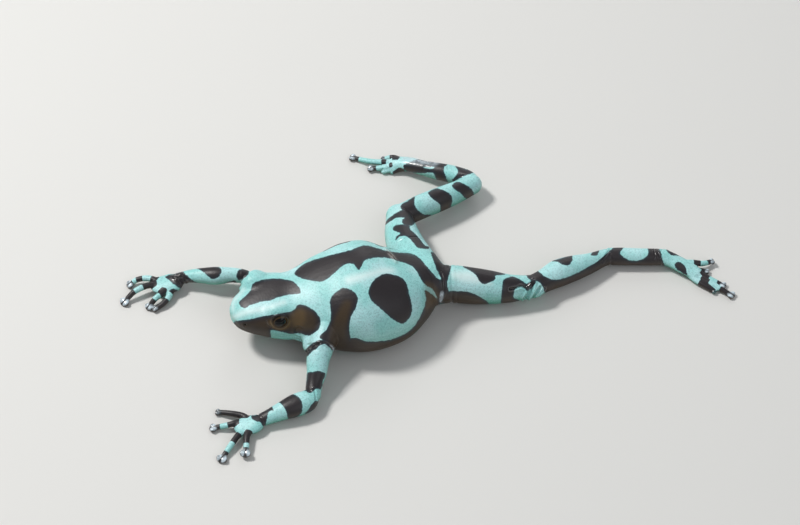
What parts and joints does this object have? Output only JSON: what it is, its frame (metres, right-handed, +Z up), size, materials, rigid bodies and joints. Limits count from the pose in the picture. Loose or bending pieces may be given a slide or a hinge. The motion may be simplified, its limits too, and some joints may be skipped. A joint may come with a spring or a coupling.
{
  "type": "poison dart frog figure",
  "caption": "Life-size still figure of a green and black poison dart frog lying on its belly with its limbs spread.",
  "frame": {"origin": "floor point under the middle of the belly, on the flat on which the belly rests", "axes": "-X towards the snout, +X along the trailing left hind leg, +Y towards the frog's right side, +Z up"},
  "size_m": [0.1063, 0.0701, 0.0138],
  "materials": {
    "frog_skin": "moist fine-grained skin, turquoise with black blotches",
    "frog_dark_skin": "moist fine-grained skin, black with turquoise bands and pale disc tips",
    "frog_eye": "wet black-brown eye"
  },
  "bodies": {
    "root": {"torso": "frog_skin", "head": "frog_skin", "left_eye": "frog_eye", "right_eye": "frog_eye", "left_upper_arm": "frog_skin", "left_forearm": "frog_skin", "left_hand": "frog_dark_skin", "right_upper_arm": "frog_skin", "right_forearm": "frog_skin", "right_hand": "frog_dark_skin", "left_thigh": "frog_skin", "left_shank": "frog_skin", "left_tarsus": "frog_skin", "left_foot": "frog_dark_skin", "right_thigh": "frog_skin", "right_shank": "frog_skin", "right_tarsus": "frog_skin", "right_foot": "frog_dark_skin"}
  },
  "joints": []
}
